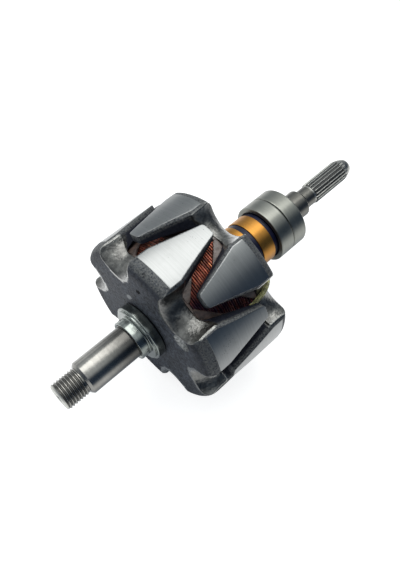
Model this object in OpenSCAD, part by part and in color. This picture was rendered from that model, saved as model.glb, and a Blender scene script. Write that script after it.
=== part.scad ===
// Alternator rotor with two interleaved claw-pole pieces, a field coil, two slip rings,
// a pair of rear bearings and a splined tail.
//
// The shaft lies along X. The threaded drive end points to -X and the splined end to +X.
// The origin is on the shaft axis, at the shoulder where the drive-end bearing seats.
// Modules draw along local Z, and along_shaft() turns that to X: a local angle of 0 is up,
// and angles grow from +Z towards -Y.

/* [Shaft] */
// Diameter of the drive-end bearing journal
journal_d = 17; // [15:0.5:20]
// Length of the drive-end journal, from the undercut to the collar
journal_len = 27.5; // [18:0.5:34]
// Chamfer on the outer end of the drive-end journal
journal_chamfer = 1.2; // [0.4:0.1:2]
// Diameter of the pulley thread
thread_d = 14; // [12:0.5:15]
// Length of the pulley thread
thread_len = 10.8; // [6:0.2:20]
// Chamfer on the end of the pulley thread
thread_chamfer = 1; // [0.3:0.1:1.5]
// Diameter of the undercut between thread and journal
undercut_d = 12.2; // [9:0.1:13]
// Length of the undercut
undercut_len = 1.8; // [1:0.1:4]
// Diameter of the pressed seat under the collar and the pole pieces
seat_d = 17.6; // [16:0.1:22]
// Diameter of the tail that carries the slip rings and the rear bearings
tail_d = 15; // [12:0.5:16]
// Length of the bare tail behind the rear bearings
tail_len = 13.7; // [6:0.1:24]
// Chamfer on the end of the bare tail
tail_chamfer = 1.3; // [0.3:0.1:2]
// Mouth diameter of the centre drilling in the threaded end
centre_d = 5; // [2:0.5:7]
// Depth of the centre drilling in the threaded end
centre_depth = 6; // [3:0.5:12]

/* [Spline] */
// Number of spline teeth
spline_teeth = 20; // [12:1:24]
// Outer diameter of the spline
spline_d = 12; // [11:0.1:13]
// Diameter of the neck and of the roots between the teeth
neck_d = 10.7; // [9:0.1:10.8]
// Length of the neck between tail and spline
neck_len = 7; // [3:0.5:14]
// Length of the full spline
spline_len = 24; // [12:0.5:40]
// Length of the tapered nose
nose_len = 6.7; // [3:0.1:10]
// Diameter of the flat end of the nose
nose_d = 7; // [4:0.5:9]

/* [Claw poles] */
// Outer diameter of the turned claws
rotor_d = 89; // [80:0.5:100]
// Length of both pole pieces, from face to face
pole_stack_len = 52; // [46:0.5:64]
// Claws on each pole piece
claws = 6; // [6:1:7]
// Turn of the first front claw from straight up, in degrees
claw_phase = 10; // [0:1:59]
// Thickness of the pole disc in the valleys between claws
disc_t = 10.5; // [8:0.5:13]
// Radius of the forged corner between pole face and outer surface
corner_r = 5; // [3:0.5:6]
// Distance from the pole face at which the turned surface begins
turned_from = 6.6; // [6.2:0.1:8]
// Draft of the forged surface in front of the turned one, in degrees
forged_draft = 8; // [2:1:15]
// Length of a claw, from its own pole face to its tip
claw_len = 38; // [32:0.5:44]
// Distance from the pole face over which a claw keeps its full width
claw_full_len = 12.5; // [11:0.5:18]
// Width of a claw at its root
claw_root_w = 23; // [18:0.5:25]
// Width of a claw at its tip
claw_tip_w = 8.6; // [5:0.2:12]
// Radius of the rounded corners at a claw's tip
claw_tip_r = 2.4; // [0.5:0.1:3]
// Depth of the bevel along a claw's turned edges
claw_bevel = 1.1; // [0.5:0.1:2]
// Radius of the fillet between a claw's sides and its disc
claw_fillet = 3; // [1:0.5:4]
// Radial thickness of a claw at its root
claw_root_t = 8; // [6:0.25:9]
// Radial thickness of a claw at its tip
claw_tip_t = 4; // [2:0.25:6]
// Radius at the bottom of the valleys
valley_r = 35; // [32:0.5:38]
// Radius of the rounded shoulder where a valley runs down to the pole face
shoulder_r = 11; // [10:0.1:14]
// Depth below the pole face at which a valley reaches its full radius
shoulder_depth = 9; // [6:0.5:10]
// Radius of the round scoop across a valley
scoop_r = 12; // [10:0.1:13]
// Diameter of the pole pieces' cores inside the coil
core_d = 42; // [34:1:48]

/* [Balance mark] */
// Diameter of the shallow balance drilling in the front pole face
balance_d = 9.5; // [4:0.5:11]
// Distance of the balance drilling from the shaft axis
balance_r = 31.5; // [26:0.5:34]
// Angle of the balance drilling from the nearest claw's centre line
balance_angle = -11; // [-14:1:14]

/* [Coil] */
// Outer diameter of the field coil
coil_d = 68.4; // [60:0.2:70]
// Number of turns that show along the coil
coil_turns = 30; // [16:1:40]
// Depth of the grooves between turns
turn_depth = 0.35; // [0.1:0.05:0.5]
// Wall of the bobbin's barrel and cheeks
bobbin_wall = 1.2; // [0.8:0.1:2]
// Thickness of the bobbin's flaps under the claws
flap_t = 1; // [0.6:0.1:1.2]
// Length of a bobbin flap from its cheek
flap_len = 15; // [8:1:15]
// Extra width of a flap on each side of its claw, at the cheek
flap_margin = 4.4; // [1:0.2:5]
// Extra width of a flap on each side at its tip
flap_tip_margin = 1.6; // [0:0.2:2]

/* [Collar] */
// Length of the drive-end collar
collar_len = 10.5; // [8:0.5:16]
// Wall of the collar's hub around the shaft
collar_hub_t = 1.6; // [1.5:0.1:4]
// Wall of the collar's flange around the shaft
collar_flange_t = 5.9; // [4.5:0.1:8]
// Length of the collar's flange, with its chamfers
collar_flange_len = 6; // [4:0.5:7]

/* [Slip rings] */
// Outer diameter of the slip rings
slip_d = 27; // [24:0.5:30]
// Width of one slip ring
slip_w = 8; // [5:0.5:9]
// Radial thickness of a slip ring
slip_t = 1.6; // [1:0.1:2.5]
// Width of the moulded barrier between the slip rings
barrier_w = 3; // [2:0.5:5]
// Depth of the barrier and of the hub's end flanges below the rings' surface
barrier_drop = 0.5; // [0:0.1:1.4]
// Width of the hub's flange against the rear pole
hub_front_w = 4.3; // [3:0.1:6]
// Width of the hub's flange against the bearing
hub_rear_w = 2.5; // [1:0.1:5]

/* [Rear bearings] */
// Outer diameter of the rear bearings
bearing_d = 32; // [30:1:35]
// Width of one rear bearing
bearing_w = 9; // [8:0.5:11]
// Gap between the outer rings of the two bearings
bearing_seam = 0.2; // [0.1:0.05:0.4]
// Corner chamfer of the bearing rings
ring_chamfer = 0.6; // [0.3:0.1:1]
// Radial thickness of the inner rings
inner_ring_t = 2.2; // [1.5:0.1:2.5]
// Radial thickness of the outer rings
outer_ring_t = 2.3; // [1.8:0.1:2.5]
// Thickness of the bearing seals
seal_t = 1; // [0.5:0.1:1.5]
// Depth of the seals below the ring faces
seal_recess = 0.5; // [0.2:0.1:1]
// Radial gap between a seal and the inner ring that turns inside it
seal_gap = 0.15; // [0.1:0.05:0.3]

/* [Leads] */
// Diameter of the insulating sleeves on the coil leads
sleeve_d = 2.6; // [1.6:0.1:2.8]
// Diameter of the bare lead at the terminals
wire_d = 1.1; // [0.8:0.1:1.4]
// Gap between a lead and the pole surface that it follows
lead_gap = 0.1; // [0.05:0.05:0.5]
// Height of the slack hump in each lead
lead_hump = 0.3; // [0:0.1:3]
// Width of the slip-ring terminals
terminal_w = 3; // [2:0.5:5]
// Thickness of the slip-ring terminals
terminal_t = 1.2; // [0.8:0.1:1.6]
// Height of the terminals above the hub's flange
terminal_h = 3; // [2:0.5:5]

/* [Hidden] */
$fn = 96;

// Overshoot of cutters past the faces that they cut
eps = 0.5;

// Stations along the shaft
thread_end = -journal_len - undercut_len - thread_len;
pole_front = collar_len;
pole_rear = pole_front + pole_stack_len;
ring_inner_at = pole_rear + hub_front_w;
ring_outer_at = ring_inner_at + slip_w + barrier_w;
bearing_a_at = ring_outer_at + slip_w + hub_rear_w;
bearing_b_at = bearing_a_at + bearing_w;
tail_at = bearing_b_at + bearing_w;
neck_at = tail_at + tail_len;
spline_at = neck_at + neck_len;
nose_at = spline_at + spline_len;
shaft_end = nose_at + nose_len;

// Radii that follow from the sizes above
rotor_r = rotor_d / 2;
slip_bed_r = slip_d / 2 - slip_t;
hub_flange_r = slip_d / 2 - barrier_drop;
coil_r = coil_d / 2;
barrel_r = core_d / 2 + bobbin_wall;
flap_r = coil_r + 0.2 + flap_t;
pitch_angle = 360 / claws;
bevel_turn = 50;
coil_len = pole_stack_len - 2 * (disc_t + bobbin_wall);
coil_at = pole_front + disc_t + bobbin_wall;

// Centre of the arc that shapes a valley's shoulder, and the arc that the scoop's centre follows
shoulder_centre_r = valley_r - shoulder_r;
scoop_path_r = shoulder_r + scoop_r;

// Leads leave through the rear valleys beside the second front claw and opposite it
lead_angles = [claw_phase + pitch_angle, claw_phase + pitch_angle + 180];
lead_path_r = shoulder_r + sleeve_d / 2 + lead_gap;
lead_steps = 14;
lead_rise_len = 4;
lead_rise_steps = 5;
lead_start_r = coil_r + sleeve_d / 2 + lead_gap;
lead_start_z = pole_rear - disc_t - bobbin_wall - lead_rise_len - 1;
lead_base_hump = 0.5;
sleeve_end_r = hub_flange_r + terminal_h + 2.5;
lead_face_z = pole_rear + sleeve_d / 2 + lead_gap;
lead_face_angle = asin((lead_face_z - pole_rear + shoulder_depth) / lead_path_r);

// Turns local Z to the shaft axis and local X to straight up
module along_shaft() {
  rotate([180, -90, 0]) children();
}

// A ring about the shaft, from one station to another
module ring(outer_r, inner_r, from, to) {
  translate([0, 0, from]) {
    difference() {
      cylinder(r = outer_r, h = to - from);
      translate([0, 0, -eps]) cylinder(r = inner_r, h = to - from + 2 * eps);
    }
  }
}

// Outline of one spline cross-section
module spline_section() {
  tooth_angle = 360 / spline_teeth;
  root_r = neck_d / 2;
  groove_root_w = root_r * sin(tooth_angle / 2) * 0.9;
  groove_top_w = groove_root_w * 1.7;
  difference() {
    circle(r = spline_d / 2);
    for (i = [0 : spline_teeth - 1]) {
      rotate(i * tooth_angle) {
        polygon([
          [root_r, -groove_root_w / 2],
          [spline_d / 2 + eps, -groove_top_w / 2],
          [spline_d / 2 + eps, groove_top_w / 2],
          [root_r, groove_root_w / 2]
        ]);
      }
    }
  }
}

// Stepped body of the shaft, from the threaded end to the neck
module shaft_body() {
  rotate_extrude() {
    polygon([
      [0, thread_end],
      [thread_d / 2 - thread_chamfer, thread_end],
      [thread_d / 2, thread_end + thread_chamfer],
      [thread_d / 2, thread_end + thread_len],
      [undercut_d / 2, thread_end + thread_len],
      [undercut_d / 2, -journal_len],
      [journal_d / 2 - journal_chamfer, -journal_len],
      [journal_d / 2, -journal_len + journal_chamfer],
      [journal_d / 2, 0],
      [seat_d / 2, 0],
      [seat_d / 2, pole_rear],
      [tail_d / 2, pole_rear],
      [tail_d / 2, neck_at - tail_chamfer],
      [tail_d / 2 - tail_chamfer, neck_at],
      [neck_d / 2, neck_at],
      [neck_d / 2, spline_at + 1],
      [0, spline_at + 1]
    ]);
  }
}

// Splined tail with its lead-in and tapered nose
module spline_tail() {
  tooth_h = (spline_d - neck_d) / 2;
  intersection() {
    translate([0, 0, spline_at]) linear_extrude(spline_len + nose_len) spline_section();
    rotate_extrude() {
      polygon([
        [0, spline_at],
        [neck_d / 2, spline_at],
        [spline_d / 2, spline_at + 2 * tooth_h],
        [spline_d / 2, nose_at],
        [(spline_d + nose_d) / 4 + 0.6, nose_at + nose_len * 0.62],
        [nose_d / 2, shaft_end],
        [0, shaft_end]
      ]);
    }
  }
}

module shaft() {
  color("#9a9c99") along_shaft() {
    difference() {
      union() {
        shaft_body();
        spline_tail();
      }
      translate([0, 0, thread_end]) {
        cylinder(d1 = centre_d, d2 = centre_d * 0.5, h = centre_d * 0.43);
        cylinder(d = centre_d * 0.5, h = centre_depth);
      }
    }
  }
}

// Outline of a claw as seen from outside, from its pole face (y = 0) to its tip, widened by margin
function tip_corner(half_w, tip, r) =
  [for (a = [0 : 22.5 : 90]) [half_w - r + r * cos(a), tip - r + r * sin(a)]];
function half_outline(root_w, tip_w, full_len, tip, r) =
  concat([[root_w / 2, 0], [root_w / 2, full_len]], tip_corner(tip_w / 2, tip, r));
function mirrored(points) = [for (i = [len(points) - 1 : -1 : 0]) [-points[i][0], points[i][1]]];
function claw_outline(root_w, tip_w, full_len, tip, r) =
  concat(half_outline(root_w, tip_w, full_len, tip, r),
         mirrored(half_outline(root_w, tip_w, full_len, tip, r)));

// The children once for each claw, all round
module each_claw() {
  for (i = [0 : claws - 1]) rotate([0, 0, i * pitch_angle]) children();
}

// A drawing of a claw as seen from outside, carried outwards from the shaft
module claw_prism() {
  rotate([0, 90, 0]) rotate([0, 0, 90]) linear_extrude(rotor_r + eps) children();
}

// The straight end of a scoop, which runs through the disc and shapes the claws' roots
module scoop_tail() {
  translate([valley_r + scoop_r, 0, shoulder_depth]) {
    cylinder(r = scoop_r, h = disc_t + claw_fillet - shoulder_depth);
  }
}

// Scoops that cut the valleys: a round section led over the shoulder and on through the disc
module valley_scoops() {
  for (i = [0 : claws - 1]) rotate([0, 0, (i + 0.5) * pitch_angle]) {
    translate([shoulder_centre_r, 0, shoulder_depth]) rotate([-90, 0, 0]) {
      rotate_extrude(angle = 90) translate([scoop_path_r, 0]) circle(r = scoop_r);
    }
    scoop_tail();
  }
}

// Half section of a pole disc: a round forged corner, a drafted band and the turned surface
module disc_section() {
  arc_at = rotor_r - (corner_r + (turned_from - corner_r) * sin(forged_draft)) / cos(forged_draft);
  polygon([
    [0, 0], [arc_at, 0],
    [arc_at + corner_r * cos(forged_draft), corner_r - corner_r * sin(forged_draft)],
    [rotor_r, turned_from], [rotor_r, disc_t], [0, disc_t]
  ]);
  translate([arc_at, corner_r]) circle(r = corner_r);
}

// A claw seen from outside, with the fillets where its sides meet the disc
module claw_drawing() {
  foot_w = claw_root_w + 2 * claw_fillet;
  polygon(claw_outline(claw_root_w, claw_tip_w, claw_full_len, claw_len, claw_tip_r));
  difference() {
    translate([-foot_w / 2, 0]) square([foot_w, disc_t + claw_fillet]);
    for (side = [-1, 1]) {
      translate([side * foot_w / 2, disc_t + claw_fillet]) circle(r = claw_fillet);
    }
  }
}

// Cutter for the bevel along one edge of a claw, between two points [across, along] of it
module bevel_cutter(from, to) {
  reach = 6;
  low_from = sqrt(rotor_r * rotor_r - from[0] * from[0]) - claw_bevel;
  low_to = sqrt(rotor_r * rotor_r - to[0] * to[0]) - claw_bevel;
  run = [low_to - low_from, to[0] - from[0], to[1] - from[1]];
  translate([low_from, from[0], from[1]]) {
    rotate([asin(-run[1] / norm(run)), atan2(run[0], run[2]), 0]) rotate([0, 0, bevel_turn]) {
      translate([0, -reach, -eps]) cube([reach, 2 * reach, norm(run) + 2 * eps]);
    }
  }
}

// Bevels along both edges of a claw's root
module root_bevels() {
  half_w = claw_root_w / 2;
  for (side = [0, 1]) mirror([0, side, 0]) bevel_cutter([half_w, 0], [half_w, claw_full_len]);
}

// Bevels along both tapering edges of a claw
module tip_bevels() {
  for (side = [0, 1]) mirror([0, side, 0]) {
    bevel_cutter([claw_root_w / 2, claw_full_len], [claw_tip_w / 2, claw_len]);
  }
}

// One claw before its edges are cut, thick at the root and thin at the tip
module claw_blank() {
  root_z = disc_t - 1;
  intersection() {
    rotate_extrude() {
      polygon([
        [rotor_r - claw_root_t, root_z],
        [rotor_r, root_z],
        [rotor_r, claw_len],
        [rotor_r - claw_tip_t, claw_len],
        [rotor_r - claw_root_t, disc_t]
      ]);
    }
    claw_prism() claw_drawing();
  }
}

// A whole pole piece with its face at z = 0 and its claws pointing to +z
module claw_pole() {
  difference() {
    union() {
      rotate_extrude() disc_section();
      each_claw() claw_blank();
      cylinder(d = core_d, h = pole_stack_len / 2);
    }
    valley_scoops();
    each_claw() {
      root_bevels();
      tip_bevels();
    }
    translate([0, 0, -eps]) cylinder(d = seat_d, h = pole_stack_len / 2 + 2 * eps);
  }
}

module front_pole() {
  color("#6c6f72") along_shaft() {
    translate([0, 0, pole_front]) rotate([0, 0, claw_phase]) {
      difference() {
        claw_pole();
        rotate([0, 0, pitch_angle + balance_angle]) translate([balance_r, 0, -0.01]) {
          cylinder(d1 = balance_d, d2 = 0.5, h = balance_d * 0.3);
        }
      }
    }
  }
}

module rear_pole() {
  color("#64676a") along_shaft() {
    translate([0, 0, pole_rear]) rotate([0, 0, claw_phase + pitch_angle / 2]) {
      rotate([180, 0, 0]) claw_pole();
    }
  }
}

// One end of the bobbin before it is bored: its cheek and the flaps that lie under the claws
module bobbin_end() {
  cylinder(r = flap_r - flap_t / 2, h = bobbin_wall);
  intersection() {
    ring(flap_r, flap_r - flap_t, bobbin_wall / 2, flap_len);
    each_claw() claw_prism() polygon(claw_outline(
      claw_root_w + 2 * flap_margin, claw_tip_w + 2 * flap_tip_margin,
      claw_full_len - disc_t, flap_len, claw_tip_r));
  }
}

module bobbin() {
  color("#7d6a58") along_shaft() {
    difference() {
      union() {
        translate([0, 0, coil_at - bobbin_wall / 2]) {
          cylinder(r = barrel_r, h = coil_len + bobbin_wall);
        }
        translate([0, 0, pole_front + disc_t]) rotate([0, 0, claw_phase]) bobbin_end();
        translate([0, 0, pole_rear - disc_t]) rotate([0, 0, claw_phase + pitch_angle / 2]) {
          rotate([180, 0, 0]) bobbin_end();
        }
      }
      translate([0, 0, pole_front]) cylinder(d = core_d, h = pole_stack_len);
    }
  }
}

// Coil with a groove between each two turns of its outer layer
module field_coil() {
  turn_w = coil_len / coil_turns;
  color("#a4502c") along_shaft() {
    rotate_extrude() {
      polygon(concat(
        [[barrel_r, coil_at + coil_len], [barrel_r, coil_at]],
        [for (i = [0 : coil_turns - 1], side = [0, 1])
          [coil_r - turn_depth * (1 - side), coil_at + (i + side / 2) * turn_w]],
        [[coil_r - turn_depth, coil_at + coil_len]]
      ));
    }
  }
}

// Turned collar between the drive-end bearing and the front pole
module drive_end_collar() {
  hub_r = seat_d / 2 + collar_hub_t;
  flange_r = seat_d / 2 + collar_flange_t;
  flange_at = collar_len - collar_flange_len;
  step_r = flange_r - 1.2;
  edge = 0.4;
  mouth = 0.8;
  color("#c9d2c8") along_shaft() {
    rotate_extrude() {
      polygon([
        [seat_d / 2, mouth],
        [seat_d / 2 + mouth, 0],
        [hub_r - edge, 0],
        [hub_r, edge],
        [hub_r, flange_at],
        [step_r - edge, flange_at],
        [step_r, flange_at + edge],
        [step_r, flange_at + 1],
        [flange_r - edge, flange_at + 1],
        [flange_r, flange_at + 1 + edge],
        [flange_r, collar_len],
        [seat_d / 2, collar_len]
      ]);
    }
  }
}

// Moulded hub that insulates the slip rings from the shaft
module slip_ring_hub() {
  color("#15192e") along_shaft() {
    ring(slip_bed_r, tail_d / 2, pole_rear, bearing_a_at);
    ring(hub_flange_r, tail_d / 2, pole_rear, ring_inner_at);
    ring(hub_flange_r, tail_d / 2, ring_inner_at + slip_w, ring_outer_at);
    ring(hub_flange_r, tail_d / 2, ring_outer_at + slip_w, bearing_a_at);
  }
}

module slip_ring(at) {
  color("#c88a36") along_shaft() ring(slip_d / 2, slip_bed_r, at, at + slip_w);
}

module slip_ring_inner() {
  slip_ring(ring_inner_at);
}

module slip_ring_outer() {
  slip_ring(ring_outer_at);
}

// Route of a lead in its own radial plane, as [radius, station]: off the coil, over the
// valley's shoulder with a slack hump, and in along the rear pole face
lead_rise_r = shoulder_centre_r + lead_path_r + lead_base_hump;
function lead_route() = concat(
  [for (i = [0 : lead_rise_steps])
    let (t = i / lead_rise_steps)
    [lead_start_r + (lead_rise_r - lead_start_r) * t * t * (3 - 2 * t),
     lead_start_z + lead_rise_len * t]],
  [for (i = [0 : lead_steps])
    let (t = i / lead_steps,
         a = lead_face_angle * t,
         r = lead_path_r + lead_base_hump * (1 - t) + lead_hump * pow(sin(180 * t), 2))
    [shoulder_centre_r + r * cos(a), pole_rear - shoulder_depth + r * sin(a)]],
  [[sleeve_end_r, lead_face_z]]
);

// Round tube swept along a route in the plane of local X and Z
function route_dir(route, i) =
  let (a = route[max(i - 1, 0)], b = route[min(i + 1, len(route) - 1)], d = b - a)
  d / norm(d);
function tube_points(route, r, sides) =
  [for (i = [0 : len(route) - 1])
    let (d = route_dir(route, i))
    for (k = [0 : sides - 1])
      let (a = 360 * k / sides)
      [route[i][0] + r * cos(a) * d[1], r * sin(a), route[i][1] - r * cos(a) * d[0]]];
module tube(route, r) {
  sides = 8;
  last = (len(route) - 1) * sides;
  polyhedron(
    points = tube_points(route, r, sides),
    faces = concat(
      [[for (k = [0 : sides - 1]) k]],
      [for (i = [0 : len(route) - 2], k = [0 : sides - 1])
        [i * sides + k, (i + 1) * sides + k,
         (i + 1) * sides + (k + 1) % sides, i * sides + (k + 1) % sides]],
      [[for (k = [sides - 1 : -1 : 0]) last + k]]
    )
  );
}

module lead_sleeve(angle) {
  color("#b9c25a") along_shaft() rotate([0, 0, angle]) tube(lead_route(), sleeve_d / 2);
}

module lead_sleeve_a() {
  lead_sleeve(lead_angles[0]);
}

module lead_sleeve_b() {
  lead_sleeve(lead_angles[1]);
}

// Bare end of a lead, from its sleeve to the terminal
module lead_tail(angle) {
  inner_r = hub_flange_r + terminal_h;
  color("#b86b3c") along_shaft() rotate([0, 0, angle]) {
    translate([inner_r, 0, lead_face_z]) rotate([0, 90, 0]) {
      cylinder(d = wire_d, h = sleeve_end_r - inner_r);
    }
  }
}

module lead_tail_a() {
  lead_tail(lead_angles[0]);
}

module lead_tail_b() {
  lead_tail(lead_angles[1]);
}

// Terminal tag that stands on the hub's flange
module terminal(angle) {
  color("#c9a64e") along_shaft() rotate([0, 0, angle]) {
    difference() {
      translate([0, -terminal_w / 2, lead_face_z - terminal_t / 2]) {
        cube([hub_flange_r + terminal_h, terminal_w, terminal_t]);
      }
      translate([0, 0, pole_rear - eps]) cylinder(r = hub_flange_r, h = hub_front_w + 2 * eps);
    }
  }
}

module terminal_a() {
  terminal(lead_angles[0]);
}

module terminal_b() {
  terminal(lead_angles[1]);
}

// Inner ring of a rear bearing
module inner_ring(at) {
  outer = tail_d / 2 + inner_ring_t;
  c = ring_chamfer / 2;
  color("#a9adab") along_shaft() translate([0, 0, at]) rotate_extrude() {
    polygon([
      [tail_d / 2, 0], [outer - c, 0], [outer, c],
      [outer, bearing_w - c], [outer - c, bearing_w], [tail_d / 2, bearing_w]
    ]);
  }
}

// Outer ring of a rear bearing, between two stations
module outer_ring(from, to) {
  outer = bearing_d / 2;
  inner = outer - outer_ring_t;
  c = ring_chamfer;
  color("#8f9693") along_shaft() rotate_extrude() {
    polygon([
      [inner, from], [outer - c, from], [outer, from + c],
      [outer, to - c], [outer - c, to], [inner, to]
    ]);
  }
}

// Seal that closes the space between the rings
module seal(from) {
  outer = bearing_d / 2 - outer_ring_t;
  inner = tail_d / 2 + inner_ring_t + seal_gap;
  color("#14182a") along_shaft() ring(outer, inner, from, from + seal_t);
}

module bearing_a_inner_ring() {
  inner_ring(bearing_a_at);
}

module bearing_a_outer_ring() {
  outer_ring(bearing_a_at, bearing_b_at - bearing_seam / 2);
}

module bearing_a_front_seal() {
  seal(bearing_a_at + seal_recess);
}

module bearing_a_rear_seal() {
  seal(bearing_b_at - seal_recess - seal_t);
}

module bearing_b_inner_ring() {
  inner_ring(bearing_b_at);
}

module bearing_b_outer_ring() {
  outer_ring(bearing_b_at + bearing_seam / 2, tail_at);
}

module bearing_b_front_seal() {
  seal(bearing_b_at + seal_recess);
}

module bearing_b_rear_seal() {
  seal(tail_at - seal_recess - seal_t);
}

shaft();
front_pole();
rear_pole();
bobbin();
field_coil();
drive_end_collar();
slip_ring_hub();
slip_ring_inner();
slip_ring_outer();
lead_sleeve_a();
lead_sleeve_b();
lead_tail_a();
lead_tail_b();
terminal_a();
terminal_b();
bearing_a_inner_ring();
bearing_a_outer_ring();
bearing_a_front_seal();
bearing_a_rear_seal();
bearing_b_inner_ring();
bearing_b_outer_ring();
bearing_b_front_seal();
bearing_b_rear_seal();
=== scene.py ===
import math

import bmesh
import bpy
import numpy as np
from bpy.props import FloatProperty, FloatVectorProperty, IntProperty, PointerProperty
from mathutils import Matrix, Quaternion, Vector, noise


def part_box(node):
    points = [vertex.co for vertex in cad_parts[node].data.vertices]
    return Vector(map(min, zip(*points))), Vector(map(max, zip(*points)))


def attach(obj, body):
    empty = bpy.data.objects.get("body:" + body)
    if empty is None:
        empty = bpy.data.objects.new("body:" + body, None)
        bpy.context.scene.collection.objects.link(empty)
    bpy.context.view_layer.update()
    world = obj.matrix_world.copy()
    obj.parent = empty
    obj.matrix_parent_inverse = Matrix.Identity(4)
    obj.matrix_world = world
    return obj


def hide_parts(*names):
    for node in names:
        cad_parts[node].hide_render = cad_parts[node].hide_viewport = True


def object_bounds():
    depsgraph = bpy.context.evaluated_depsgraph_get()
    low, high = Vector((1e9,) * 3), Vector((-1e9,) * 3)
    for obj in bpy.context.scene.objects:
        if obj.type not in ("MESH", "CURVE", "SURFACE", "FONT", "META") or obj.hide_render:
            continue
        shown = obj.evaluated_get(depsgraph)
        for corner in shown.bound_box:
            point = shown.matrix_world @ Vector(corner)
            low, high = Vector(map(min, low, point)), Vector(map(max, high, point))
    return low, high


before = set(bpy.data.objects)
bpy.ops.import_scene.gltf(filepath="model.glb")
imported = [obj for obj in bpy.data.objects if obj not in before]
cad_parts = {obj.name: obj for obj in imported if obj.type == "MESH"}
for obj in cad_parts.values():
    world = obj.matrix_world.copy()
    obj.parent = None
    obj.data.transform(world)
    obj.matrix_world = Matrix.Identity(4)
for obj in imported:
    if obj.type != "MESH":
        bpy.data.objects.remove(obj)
bpy.context.view_layer.update()
CAD_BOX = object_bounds()

bl_info = {
    "name": "Alternator Rotor",
    "version": (1, 0, 0),
    "blender": (4, 5, 0),
    "location": "3D View > Sidebar > Rotor",
    "description": "Builds a claw-pole alternator rotor round its CAD model",
    "category": "Object",
}

MM = 0.001
AROUND, ROUNDING_STEPS = 192, 5  # facets round a turned piece and over each rounded corner


def span(node):
    """First station, last station and outer radius of a CAD node, in millimetres."""
    low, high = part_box(node)
    return low.x / MM, high.x / MM, max(high.z, -low.z) / MM


SHAFT_START, SHAFT_END, SEAT_R = span("shaft")
POLE_FRONT, _, ROTOR_R = span("front_pole")
_, POLE_REAR, _ = span("rear_pole")
COIL_START, COIL_END, COIL_R = span("field_coil")
_, COLLAR_END, COLLAR_R = span("drive_end_collar")
TAIL_START = span("bearing_b_inner_ring")[1]

# Stations and radii of the shaft's own steps, in millimetres.
THREAD_LENGTH, THREAD_R = 12.0, 7.0
CENTRE_R, JOURNAL_R = 1.25, 8.5
TAIL_R, TAIL_END = 7.5, 118.7
NECK_START, NECK_END = 120.0, 126.0
SPLINE_START, SPLINE_R, ROOT_R = 127.0, 6.0, 5.35
NOSE_START, NOSE_R = 151.0, 3.5


# ---------------------------------------------------------------- sizes and colours


def length(name, description, millimetres):
    return FloatProperty(
        name=name, description=description, default=millimetres * MM, unit="LENGTH", precision=5
    )


def colour(name, description, rgb):
    return FloatVectorProperty(
        name=name, description=description, default=rgb, size=3, subtype="COLOR", min=0, max=1
    )


class RotorSizes(bpy.types.PropertyGroup):
    """Sizes of the details that are finer than the CAD model."""

    claw_phase: FloatProperty(
        name="Claw phase", description="Turn of the first front claw from straight up",
        default=math.radians(10), subtype="ANGLE",
    )
    forging_wave: length("Forging wave", "Unevenness of the surfaces left as forged", 0.14)
    balance_angle: FloatProperty(
        name="Balance angle", default=math.radians(49), subtype="ANGLE",
        description="Angle of the balance drilling from the first front claw",
    )
    balance_radius: length("Balance radius", "Distance of the balance drilling from the axis", 31.5)
    balance_width: length("Balance width", "Mouth of the balance drilling", 9.5)
    rear_trim: length("Rear trim", "How much shorter the rear pole's corner band is", 1.5)
    thread_pitch: length("Thread pitch", "Pitch of the pulley thread", 1.5)
    thread_depth: length("Thread depth", "Depth of the pulley thread", 0.7)
    spline_teeth: IntProperty(
        name="Spline teeth", description="Teeth round the splined tail", default=20
    )
    coil_turns: IntProperty(
        name="Coil turns", description="Turns in the coil's outer layer", default=24
    )
    wire_wander: length("Wire wander", "How far a turn strays from its place", 0.16)
    strand_radius: length("Strand radius", "Radius of one varnished strand of a lead", 0.62)


class RotorColours(bpy.types.PropertyGroup):
    """Colours of the finishes."""

    turned_steel: colour("Turned steel", "Claws where they are turned", (0.24, 0.247, 0.247))
    forged_steel: colour("Forged steel", "Poles left as forged", (0.046, 0.051, 0.062))
    varnish: colour("Varnish", "Varnish that gathers in the valleys", (0.10, 0.10, 0.094))
    ground_steel: colour("Ground steel", "Shaft and journals", (0.27, 0.265, 0.25))
    plating: colour("Plating", "Plated collar", (0.26, 0.285, 0.27))
    copper: colour("Copper", "Enamelled winding wire", (0.42, 0.115, 0.068))
    nylon: colour("Nylon", "Varnished bobbin", (0.086, 0.058, 0.048))
    slip_ring: colour("Slip ring", "Turned slip-ring alloy", (0.42, 0.20, 0.042))
    resin: colour("Resin", "Moulded slip-ring hub", (0.004, 0.005, 0.020))
    sleeve: colour("Sleeve", "Varnished sleeve on the leads", (0.27, 0.26, 0.10))
    brass: colour("Brass", "Terminals", (0.62, 0.44, 0.17))
    bearing_steel: colour("Bearing steel", "Ground bearing rings", (0.24, 0.245, 0.222))
    seal: colour("Seal", "Moulded bearing seals", (0.012, 0.013, 0.026))
    floor: colour("Floor", "Studio floor", (0.45, 0.45, 0.45))


def sizes():
    return bpy.context.scene.rotor_sizes


def colours():
    return bpy.context.scene.rotor_colours


# ---------------------------------------------------------------- node trees


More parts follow.
